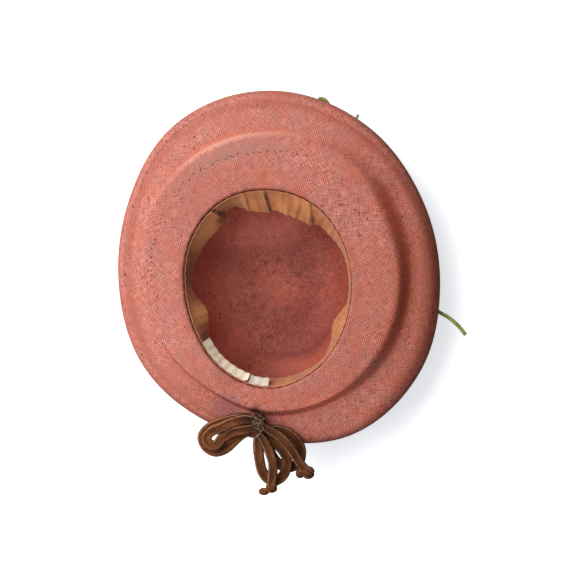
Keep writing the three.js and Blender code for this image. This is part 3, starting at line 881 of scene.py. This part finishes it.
# Velvet bow
# Narrow velvet tubing, flattened, in four loops and two tails that are gripped by one wrapped knot, which
# is sewn to the brim. Each tail ends in a knot of its own. The pile is rubbed off along the ridges.
TUBE_WIDTH = 10.4
TUBE_THICKNESS = 7
TAIL_WIDTH = 9.4
TUBE_STEP = 0.9
# share of the width left in the knot's grip, and the length over which it widens from there
PINCH = 0.62
PINCH_LENGTH = 16
# power that squares the tube's oval, share of the thickness left in its hollow, then the ridges: place and
# half width as shares of half the tube's width, and height over the hollow
OVAL_POWER = 0.85
HOLLOW = 0.74
RIDGE_AT = 0.66
RIDGE_HALF = 0.2
RIDGE_RISE = 0.3
# waves along a tube, as a share and the length of one radian: of the width, of the thickness and how those
# drift, and the fine ones that slant round it
WIDTH_WAVE = (0.02, 3.1)
WRINKLE = (0.03, 2.3)
WRINKLE_DRIFT = (1.5, 7)
CRINKLE = (0.025, 1.1)
# the grooves round a tied knot: depth as a share of its size, and half width, then the share of its lumps
# and the angle through which the pile turns from a groove to the top between two
GROOVE_DEPTH = 0.13
GROOVE_HALF = 0.35
LUMPS = 0.02
PILE_TURN = math.radians(117)
LOOPS = {
    "bow_loop_left_front": [
        (-10, -131.5, 83.5), (-22, -129.5, 83.8), (-34, -132, 84.2), (-47, -138.2, 83.8),
        (-57, -142.5, 82.8), (-62, -148.5, 82), (-59.3, -155, 82), (-52.5, -156.2, 81.5),
        (-46.3, -149.2, 80), (-41, -146.2, 79.8), (-33.5, -142.4, 82), (-23, -140.2, 83), (-10, -137, 83.5),
    ],
    "bow_loop_left_back": [
        (-10, -130, 76.2), (-24, -129.3, 76.2), (-37, -131, 76.2), (-50, -134.8, 75.6), (-61, -140.5, 75),
        (-67, -149, 74.6), (-64, -158.5, 74.6), (-54, -163.8, 74.6), (-44.5, -161, 74.8),
        (-36, -153.5, 75.2), (-25.5, -144.5, 75.8), (-10, -138.5, 76.2),
    ],
    "bow_loop_down": [
        (-8, -138, 82), (-10.4, -151, 82), (-10.2, -160, 81.6), (-9, -171, 80.6), (-6.5, -182, 79.6),
        (-1, -189.5, 79), (7, -190.8, 79), (14, -186, 79.2), (17.8, -176.5, 79.8), (17.2, -167, 80.6),
        (12.3, -158.6, 81.4), (4, -151, 82), (-6, -141, 82),
    ],
    "bow_loop_right": [
        (-8, -140.5, 74.7), (4, -140.8, 74.7), (13, -142, 74.4), (21.5, -146, 74), (28.2, -153.5, 73.4),
        (31.6, -163.5, 72.6), (28.5, -174.5, 72), (18.5, -179, 72), (9, -175.2, 72.4), (2, -166, 73.2),
        (-3, -155, 74.2), (-8, -144.5, 74.7),
    ],
}
TAILS = {
    "bow_tail_middle": [
        (-10, -141, 89.2), (-1.9, -153.5, 89.2), (2.7, -164, 89.2), (5, -174.5, 88.6), (4.4, -185, 88),
        (3, -195, 87.2),
    ],
    "bow_tail_right": [
        (-8, -133.5, 89.4), (3, -140.3, 89.4), (12.7, -146.3, 89.4), (20.8, -155.2, 89), (27.2, -165, 88.2),
        (32.5, -173.2, 87.4), (37, -178.5, 87),
    ],
}
# knots in the tails' ends: centre, half sizes
TAIL_KNOTS = {
    "bow_tail_middle": [((3.5, -196.5, 87), (6, 5.5, 5)), ((-4.2, -200.8, 86.5), (5.4, 3.7, 3.3))],
    "bow_tail_right": [((39.6, -181.2, 87), (6.6, 6.4, 5.6)), ((31.5, -182.4, 86.6), (4.4, 4.6, 4))],
}
TAIL_KNOT_TURNS = 2
KNOT_CENTRE = (-9.5, -137, 80.6)
KNOT_HALF = (8.5, 13.5, 11)
KNOT_TURNS = 3


def follow(route, step):
    """Points a step apart along a smooth curve through a route, and their distances along it: Hermite spans
    over the root of the chords, with slopes from the points on both sides, read at even distances."""
    route = np.array(route, float)
    chords = np.linalg.norm(np.diff(route, axis=0), axis=1)
    at = np.concatenate([[0], np.cumsum(np.sqrt(chords))])
    curve = hermite(at, route, np.gradient(route, at, axis=0), np.linspace(0, at[-1], 40 * len(at)))
    length = way_along(curve)
    even = np.linspace(0, length[-1], round(length[-1] / step) + 1)
    return np.stack([np.interp(even, length, column) for column in curve.T], axis=1), even


def carried(centre, across, rise):
    """A section carried along a path: each point of it lies across the path, level, and above it, square to
    both, by the distances in across and rise."""
    along = np.gradient(centre, axis=0)
    along /= np.linalg.norm(along, axis=1, keepdims=True)
    level = np.cross(along, [0, 0, 1])
    level /= np.linalg.norm(level, axis=1, keepdims=True)
    upward = np.cross(level, along)
    return centre[:, None] + across[..., None] * level[:, None] + rise[..., None] * upward[:, None]


def velvet_tube(route, width, both_ends):
    """A flattened tube: an oval with a ridge near each edge and a hollow between them, carried along the
    route. It narrows where the knot grips it, and small waves along it wrinkle its width and its ridges."""
    centre, distance = follow(route, TUBE_STEP)
    ring = np.linspace(0, 2 * np.pi, 44, endpoint=False)[None]
    grip = np.clip(distance / PINCH_LENGTH, 0, 1)
    if both_ends:
        grip = np.minimum(grip, np.clip((distance[-1] - distance) / PINCH_LENGTH, 0, 1))
    share = (PINCH + (1 - PINCH) * grip**2 * (3 - 2 * grip))[:, None]
    s = distance[:, None]
    drift = WRINKLE_DRIFT[0] * np.sin(s / WRINKLE_DRIFT[1])
    wrinkle = 1 + WRINKLE[0] * np.sin(s / WRINKLE[1] + drift)
    wrinkle = wrinkle + CRINKLE[0] * np.sin(s / CRINKLE[1] + 2 * ring)
    side = np.sign(np.cos(ring)) * np.abs(np.cos(ring)) ** OVAL_POWER
    ridge = HOLLOW + RIDGE_RISE * np.exp(-(((np.abs(side) - RIDGE_AT) / RIDGE_HALF) ** 2))
    across = width / 2 * share * side * (1 + WIDTH_WAVE[0] * np.sin(s / WIDTH_WAVE[1]))
    rise = TUBE_THICKNESS / 2 * share * np.sin(ring) * ridge * wrinkle
    return carried(centre, across, rise), paired(s * MM, side)


def tied_lump(centre, half, turns):
    """A tied knot: an ellipsoid, with grooves that wind round it as the tubing does, a number of turns from
    end to end."""
    polar = np.linspace(0, np.pi, 30)[:, None]
    turn = np.linspace(0, 2 * np.pi, 48, endpoint=False)[None]
    wind = np.abs(np.sin(turns * polar + turn))
    swell = 1 - GROOVE_DEPTH * np.exp(-((wind / GROOVE_HALF) ** 2)) + LUMPS * np.sin(5 * turn + 3 * polar)
    x = half[0] * swell * np.sin(polar) * np.cos(turn)
    y = half[1] * swell * np.cos(polar) + 0 * turn
    z = half[2] * swell * np.sin(polar) * np.sin(turn)
    points = np.stack([x, y, z], axis=2) + np.array(centre)
    return points, paired(polar * half[1] * MM, np.cos(wind * PILE_TURN))


def joined(name, grids):
    """One piece from several bodies, each a grid with its UV pairs."""
    parts = [grid_piece(name, points[None], ring=False, pile=pairs) for points, pairs in grids]
    if len(parts) > 1:
        with bpy.context.temp_override(active_object=parts[0], selected_editable_objects=parts):
            bpy.ops.object.join()
    return parts[0]


# Cotton velvet, brown: a dense pile, crushed in long streaks, with dark tufts. Painted shade darkens it in
# the hollow between the ridges, towards the right, away from the window, and round the knot, where the loops
# crowd together and dark fluff lies. The ridges are rubbed pale.
VELVET_DEEP = "361a0c"
VELVET_BROWN = "824a27"
VELVET_KNOT_SHADE = "1c0e09"
VELVET_WORN = "ac7f5c"
VELVET_SHEEN = "d09a70"
# length of a streak, and streaks over half the tube's width
CRUSH_LENGTH = 20
CRUSH_COUNT = 1.6
TUFT = 1.5
NAP = 0.8
# the stretch from left to right over which painted shade darkens the pile more and more, away from the
# window
RIGHT_SHADE = (-12, 22)
# middle of the painted shade and dark fluff round the knot, and the radii where it is full and where it ends
KNOT_SHADE_AT = (-10, -133, 85)
KNOT_SHADE_LIMITS = (8, 26)
# the rubbed line along each ridge: place and limits as shares of half the width, and length of its gaps
RUBBED_AT = 0.74
RUBBED_LIMITS = (0.02, 0.09)
RUBBED_GAP = 3.5


def cotton_velvet(name):
    material, put, place = new_material(name)
    pile = put("UVMap", uv_map="pile")
    drawn = put("VectorMath", [pile, (1 / (CRUSH_LENGTH * MM), CRUSH_COUNT, 0)], "MULTIPLY")
    crush = put("TexNoise", {"Vector": drawn, "Scale": 1.0, "Detail": 4.0})
    crush = put("MapRange", [crush, 0.36, 0.64, 0, 1])
    colour = put("MixRGB", [crush, VELVET_DEEP, VELVET_BROWN])
    tufts = put("TexNoise", {"Vector": place, "Scale": 1 / (TUFT * MM), "Detail": 1.0})
    tufts = put("MapRange", [tufts, 0.46, 0.7, 0, 0.45])
    colour = put("MixRGB", [tufts, colour, VELVET_DEEP])
    # painted shade: darker towards the right, away from the window
    right = put("SeparateXYZ", [place]).outputs[0]
    right_shade = put("MapRange", [right, RIGHT_SHADE[0] * MM, RIGHT_SHADE[1] * MM, 0, 0.4])
    colour = put("MixRGB", [right_shade, colour, VELVET_DEEP])
    # painted shade round the knot, where the loops crowd together, with dark fluff
    gap = put("VectorMath", [place, tuple(x * MM for x in KNOT_SHADE_AT)], "DISTANCE")
    inner, outer = KNOT_SHADE_LIMITS
    soil_and_shade = put("MapRange", [gap.outputs["Value"], inner * MM, outer * MM, 0.9, 0])
    colour = put("MixRGB", [soil_and_shade, colour, VELVET_KNOT_SHADE])
    # painted shade in the hollow between the ridges
    side = put("SeparateXYZ", [pile]).outputs[1]
    side = put("Math", [side], "ABSOLUTE")
    hollow_shade = put("MapRange", [side, 0.1, 0.5, 0.4, 0])
    colour = put("MixRGB", [hollow_shade, colour, VELVET_DEEP])
    ridge = put("Math", [side, RUBBED_AT], "SUBTRACT")
    ridge = put("Math", [ridge], "ABSOLUTE")
    ridge = put("MapRange", [ridge, *RUBBED_LIMITS, 1, 0])
    broken = put("TexNoise", {"Vector": place, "Scale": 1 / (RUBBED_GAP * MM), "Detail": 2.0})
    broken = put("MapRange", [broken, 0.32, 0.56, 0.1, 0.9])
    worn = put("Math", [ridge, broken], "MULTIPLY")
    colour = put("MixRGB", [worn, colour, VELVET_WORN])
    nap = put("TexNoise", {"Vector": place, "Scale": 1 / (NAP * MM), "Detail": 2.0})
    finish = {"Roughness": 0.9, "Specular IOR Level": 0.2, "Sheen Weight": 0.12, "Sheen Roughness": 0.4}
    dress(material, colour, {**finish, "Sheen Tint": linear(VELVET_SHEEN)}, nap, 0.6, 0.35)
    return material


velvet = cotton_velvet("brown_cotton_velvet")
bow = {name: [velvet_tube(route, TUBE_WIDTH, True)] for name, route in LOOPS.items()}
for name, route in TAILS.items():
    ends = [tied_lump(centre, half, TAIL_KNOT_TURNS) for centre, half in TAIL_KNOTS[name]]
    bow[name] = [velvet_tube(route, TAIL_WIDTH, False), *ends]
bow["bow_knot"] = [tied_lump(KNOT_CENTRE, KNOT_HALF, KNOT_TURNS)]
for name, grids in bow.items():
    piece = joined(name + "_velvet", grids)
    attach(piece, "root")
    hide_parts(name)
    piece.data.materials.append(velvet)

# Knot threads
# Pale linen thread that binds the bow and sews it to the brim: a few loose strands over the knot.
STRAND_RADIUS = 0.3
STRAND_STEP = 0.6
# the plies: share by which they thicken the thread, and length of one radian
STRAND_PLY = (0.2, 0.8)
LINEN_DARK = "5e4636"
LINEN_PALE = "94795f"
KNOT_STRANDS = [
    [(-16, -124, 88), (-11.5, -127, 91.4), (-7, -129.5, 92.2), (-2.5, -127.5, 89.5)],
    [(-12.5, -126, 90), (-10.5, -131, 92.4), (-5.5, -134.5, 92.3), (-3.5, -139.5, 91.4)],
    [(-6.5, -129, 92), (-9, -136, 92.9), (-6.8, -141, 92.4), (-11, -146, 90.4)],
    [(-4.5, -138, 91.6), (-8, -143.5, 91.8), (-13.5, -147.5, 88.6)],
    [(-15, -130, 90), (-10, -133, 92.5), (-4, -131, 91.5)],
]


def strand(route):
    """A thin round thread along a route, thicker and thinner by turns as its plies cross."""
    centre, distance = follow(route, STRAND_STEP)
    ring = np.linspace(0, 2 * np.pi, 8, endpoint=False)[None]
    radius = STRAND_RADIUS * (1 + STRAND_PLY[0] * np.sin(distance / STRAND_PLY[1]))[:, None]
    points = carried(centre, radius * np.cos(ring), radius * np.sin(ring))
    return points, np.zeros((*points.shape[:2], 2))


threads = joined("knot_threads", [strand(route) for route in KNOT_STRANDS])
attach(threads, "root")
threads.data.materials.append(sewing_thread("pale_linen_thread", LINEN_DARK, LINEN_PALE))

# Stems and their tie
# Three wire stems wound with green paper, tied at the crown on the hat's upper side by a short, tight roll
# of the same paper. They run under the brim and end in bare cut tips past its edge.
# thickness and route
STEMS = {
    "stem_right": (
        3.8,
        [
            (85.7, 38, 71), (100, 28, 66), (130, 7, 52), (150, -11, 40.5), (160, -19, 37.3),
            (168, -25, 36.4), (178, -30.9, 36), (187.5, -39, 35), (195, -48.2, 33.5),
        ],
    ),
    "stem_top": (
        4.2,
        [
            (80.7, 47.8, 73), (77, 80, 68), (69, 130, 66), (61, 174, 61.5), (58, 181, 61),
            (54.5, 185.8, 60.7), (51, 187.4, 60.5), (47.8, 187.3, 60.3),
        ],
    ),
    "stem_top_small": (
        2.8,
        [(82.7, 43.8, 69), (88, 80, 66), (87, 130, 64), (84.5, 164, 62), (87.4, 171.6, 61.6)],
    ),
}
STEM_STEP = 0.8
WRAP_PITCH = 3.2
# directions of the tie's one end, its middle and its other end, and its sizes
TIE_DIRECTIONS = np.array([21, 27, 33])
TIE_RADIUS = 4
TIE_LENGTH = 14
TIE_HEIGHT = 71
# least share of a stem's radius, and shares by which the paper's edge stands out on a stem and on the tie
WRAP_LEAST = 0.94
WRAP_STEP = 0.08
TIE_STEP = 0.1


def paper_stem(thickness, route):
    """A round stem along a route, with the edge of its paper winding round it as a low helical step."""
    centre, distance = follow(route, STEM_STEP)
    ring = np.linspace(0, 2 * np.pi, 16, endpoint=False)[None]
    wind = (distance[:, None] / WRAP_PITCH + ring / (2 * np.pi)) % 1
    radius = thickness / 2 * (WRAP_LEAST + WRAP_STEP * wind)
    points = carried(centre, radius * np.cos(ring), radius * np.sin(ring))
    return points, paired(distance[:, None] * MM, wind)


def wound_roll():
    """A short roll with rounded ends along the wall: its radius falls to nothing over the last radius of
    its length as a circle does, and turns of paper ridge it."""
    angle = np.radians(TIE_DIRECTIONS)
    base = around(BRIM_SECTIONS, TIE_DIRECTIONS)[0, :, 0] + STRAW + FIT_GAP + STRAW / 2
    wall = np.stack([base * np.cos(angle), base * np.sin(angle), 0 * angle + TIE_HEIGHT], axis=1)
    along = wall[2] - wall[0]
    along /= np.linalg.norm(along)
    away = np.cross(along, [0, 0, 1])
    middle = wall[1] + away * (STRAW / 2 + FIT_GAP + TIE_RADIUS)
    reach = TIE_LENGTH / 2 + TIE_RADIUS
    place = np.sin(np.linspace(-np.pi / 2, np.pi / 2, 60)) * reach
    past = np.clip((np.abs(place) - TIE_LENGTH / 2) / TIE_RADIUS, 0, 1)
    ring = np.linspace(0, 2 * np.pi, 32, endpoint=False)[None]
    wind = (place[:, None] / WRAP_PITCH + ring / (2 * np.pi)) % 1
    radius = TIE_RADIUS * np.sqrt(1 - past**2)[:, None] * (1 - TIE_STEP + TIE_STEP * wind)
    centre = middle + place[:, None] * along
    points = carried(centre, radius * np.cos(ring), radius * np.sin(ring))
    return points, paired(place[:, None] * MM, wind)


# Crepe paper, wax green, wound in a helix: matt, with a darker line along each lap, and faded to yellow in
# places.
PAPER_GREEN = "74812f"
PAPER_YELLOW = "a6a44e"
PAPER_LAP = "414b22"
PAPER_FADE = 8
CREPE = 0.9


def wound_paper(name):
    material, put, place = new_material(name)
    axes = put("SeparateXYZ", [put("UVMap", uv_map="pile")])
    fade = put("TexNoise", {"Vector": place, "Scale": 1 / (PAPER_FADE * MM), "Detail": 3.0})
    fade = put("MapRange", [fade, 0.4, 0.7, 0, 0.8])
    colour = put("MixRGB", [fade, PAPER_GREEN, PAPER_YELLOW])
    lap = put("MapRange", [axes.outputs[1], 0.06, 0.2, 0.7, 0])
    colour = put("MixRGB", [lap, colour, PAPER_LAP])
    crepe = put("TexNoise", {"Vector": place, "Scale": 1 / (CREPE * MM), "Detail": 2.0})
    dress(material, colour, {"Roughness": 0.65}, crepe, 0.4, 0.2)
    return material


paper = wound_paper("green_crepe_paper")
wound = {name: paper_stem(thickness, route) for name, (thickness, route) in STEMS.items()}
wound["stem_tie"] = wound_roll()
for name, grid in wound.items():
    piece = joined(name + "_paper", [grid])
    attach(piece, "root")
    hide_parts(name)
    piece.data.materials.append(paper)

# Studio
# A white paper floor, a white surround, a large soft window light from the left, and the camera above the
# open side, a little to the right.
# its sizes and distances are in metres
FLOOR = 60.0
PAPER_WHITE = ("f6f7f9", "fbfbfc")
PAPER_GLOW = "f6f8fc"
PAPER_LIT = 0.56
# fibres in the paper, in millimetres
PAPER_FIBRE = 25
floor_mesh = bpy.data.meshes.new("paper_floor")
corners = [(x * FLOOR / 2, y * FLOOR / 2, 0) for x, y in [(-1, -1), (1, -1), (1, 1), (-1, 1)]]
floor_mesh.from_pydata(corners, [], [(0, 1, 2, 3)])
floor = bpy.data.objects.new("paper_floor", floor_mesh)
bpy.context.scene.collection.objects.link(floor)
white_paper, put, place = new_material("white_paper")
fibre = put("TexNoise", {"Vector": place, "Scale": 1 / (PAPER_FIBRE * MM)})
glow = {"Emission Color": linear(PAPER_GLOW), "Emission Strength": PAPER_LIT}
colour = put("MixRGB", [fibre, *PAPER_WHITE])
dress(white_paper, colour, {"Roughness": 0.9, "Specular IOR Level": 0.1, **glow})
floor_mesh.materials.append(white_paper)
floor.visible_diffuse = False
floor.visible_glossy = False
floor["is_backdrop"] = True

# direction and height of the window in degrees, its distance, size and power, and where it is aimed
WINDOW_AT = 153
WINDOW_RISE = 50
WINDOW_AWAY = 1.25
WINDOW_SIZE = 1.3
WINDOW_WATTS = 25
WINDOW_AIM = (0, 0, 0.05)
# the surround is brightest towards the window and the ceiling, and dim from the right and from below, from
# where the cosine of the angle to its brightest place has come down to its fall
SURROUND_FROM = (-0.3, 0.2, 0.93)
SURROUND_DIM = 0.02
SURROUND_BRIGHT = 0.55
SURROUND_FALL = -0.46


def looking(place, aim, up):
    """A frame at place whose -Z axis points at aim and whose Y axis is as near to up as it can be."""
    back = np.array(place) - np.array(aim)
    back = back / np.linalg.norm(back)
    right = np.cross(up, back)
    right = right / np.linalg.norm(right)
    frame_matrix = np.eye(4)
    frame_matrix[:3] = np.stack([right, np.cross(back, right), back, place], axis=1)
    return Matrix(frame_matrix.tolist())


window = bpy.data.objects.new("window", bpy.data.lights.new("window", "AREA"))
window.data.energy = WINDOW_WATTS
window.data.size = WINDOW_SIZE
bpy.context.scene.collection.objects.link(window)
turn, rise = math.radians(WINDOW_AT), math.radians(WINDOW_RISE)
toward = np.array([math.cos(turn) * math.cos(rise), math.sin(turn) * math.cos(rise), math.sin(rise)])
window.matrix_world = looking(toward * WINDOW_AWAY, WINDOW_AIM, (0, 0, 1))
world = bpy.data.worlds.new("white_surround")
world.use_nodes = True
put = functools.partial(add_node, world.node_tree)
toward = put("TexCoord").outputs["Generated"]
toward = put("VectorMath", [toward, SURROUND_FROM], "DOT_PRODUCT").outputs["Value"]
glow = put("MapRange", [toward, SURROUND_FALL, 1, SURROUND_DIM, SURROUND_BRIGHT])
background = world.node_tree.nodes["Background"]
world.node_tree.links.new(glow.outputs[0], background.inputs["Strength"])
background.inputs["Color"].default_value = (1, 1, 1, 1)
bpy.context.scene.world = world
bpy.context.scene.view_settings.view_transform = "Standard"

AIM = (0.0211, -0.0019, 0.08)
CAMERA_AWAY = 1.3
# degrees to the right and to the front
CAMERA_LEAN = (5, 2)
LENS = 81.9
SENSOR = 36
CLIP_END = 100
camera = bpy.data.objects.new("camera", bpy.data.cameras.new("camera"))
camera.data.lens = LENS
camera.data.sensor_width = SENSOR
camera.data.clip_end = CLIP_END
back = np.array([*np.tan(np.radians(CAMERA_LEAN)), 1])
place = np.array(AIM) + CAMERA_AWAY * back / np.linalg.norm(back)
camera.matrix_world = looking(place, AIM, (0, 1, 0))
bpy.context.scene.collection.objects.link(camera)
bpy.context.scene.camera = camera

sizes = {"cad": cad_box, "visual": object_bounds()}
sizes = {name: [[float(x) for x in corner] for corner in box] for name, box in sizes.items()}
